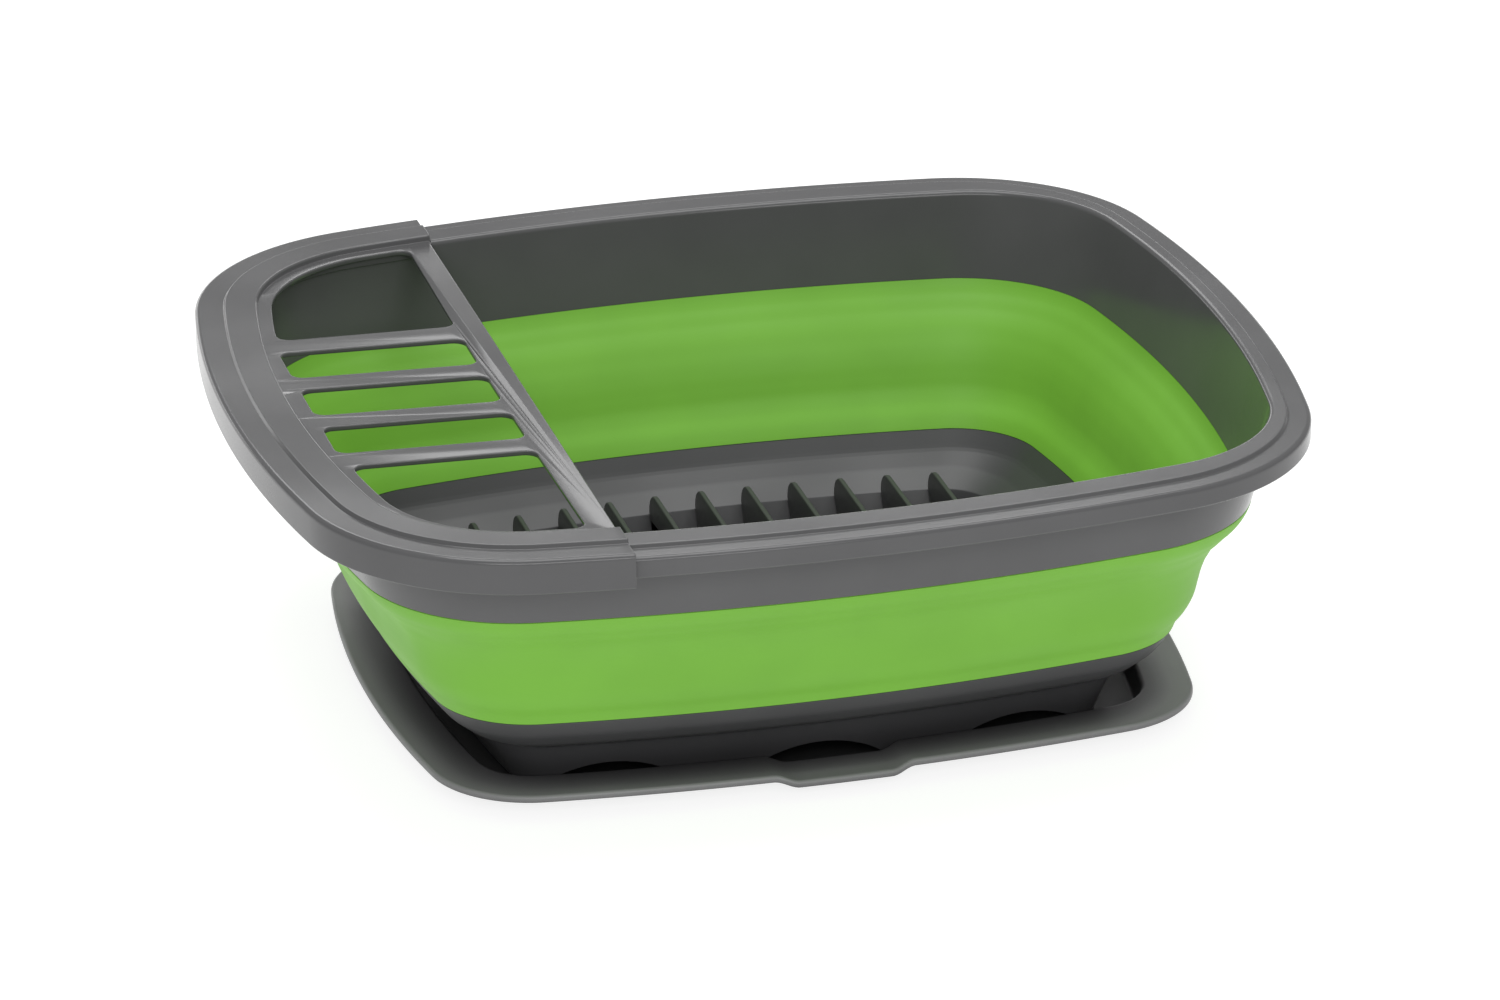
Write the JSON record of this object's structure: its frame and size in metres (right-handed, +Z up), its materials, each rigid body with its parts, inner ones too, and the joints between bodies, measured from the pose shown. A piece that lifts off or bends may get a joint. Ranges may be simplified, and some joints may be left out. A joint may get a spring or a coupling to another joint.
{
  "type": "collapsible drying rack",
  "caption": "Collapsible drying rack: a folding tub with plate fins, a clip-on cutlery caddy and a drip tray with a spout.",
  "frame": {"origin": "on the tray's flat underside, below the middle of the tub", "axes": "+X along the long side, away from the caddy; +Y to the back, away from the tray's spout; +Z up"},
  "size_m": [0.3825, 0.3418, 0.124],
  "materials": {
    "tray_plastic": "satin moulded polypropylene, mid grey",
    "base_plastic": "satin moulded polypropylene, mid grey",
    "wall_rubber": "matte thermoplastic elastomer, leaf green",
    "rim_plastic": "semi-gloss moulded polypropylene, mid grey",
    "caddy_plastic": "semi-gloss moulded polypropylene, mid grey"
  },
  "bodies": {
    "tray": {"drip_tray": "tray_plastic"},
    "tub": {"base": "base_plastic", "folding_wall": "wall_rubber", "back_fin_01": "base_plastic", "back_fin_02": "base_plastic", "back_fin_03": "base_plastic", "back_fin_04": "base_plastic", "back_fin_05": "base_plastic", "back_fin_06": "base_plastic", "back_fin_07": "base_plastic", "back_fin_08": "base_plastic", "back_fin_09": "base_plastic", "back_fin_10": "base_plastic", "back_fin_11": "base_plastic", "back_fin_12": "base_plastic", "front_fin_01": "base_plastic", "front_fin_02": "base_plastic", "front_fin_03": "base_plastic", "front_fin_04": "base_plastic", "front_fin_05": "base_plastic", "front_fin_06": "base_plastic", "front_fin_07": "base_plastic", "front_fin_08": "base_plastic", "front_fin_09": "base_plastic", "front_fin_10": "base_plastic", "front_fin_11": "base_plastic", "front_fin_12": "base_plastic"},
    "rim": {"rim_frame": "rim_plastic"},
    "caddy": {"utensil_caddy": "caddy_plastic"}
  },
  "joints": [
    {"name": "rack_lift", "type": "slide", "parent": "tray", "child": "tub", "axis": [0, 0, 1], "range_m": [0, 0.06]},
    {"name": "fold", "type": "slide", "parent": "tub", "child": "rim", "axis": [0, 0, -1], "range_m": [0, 0.066], "deforming": ["folding_wall"]},
    {"name": "caddy_lift", "type": "slide", "parent": "rim", "child": "caddy", "axis": [0, 0, 1], "range_m": [0, 0.05]}
  ]
}
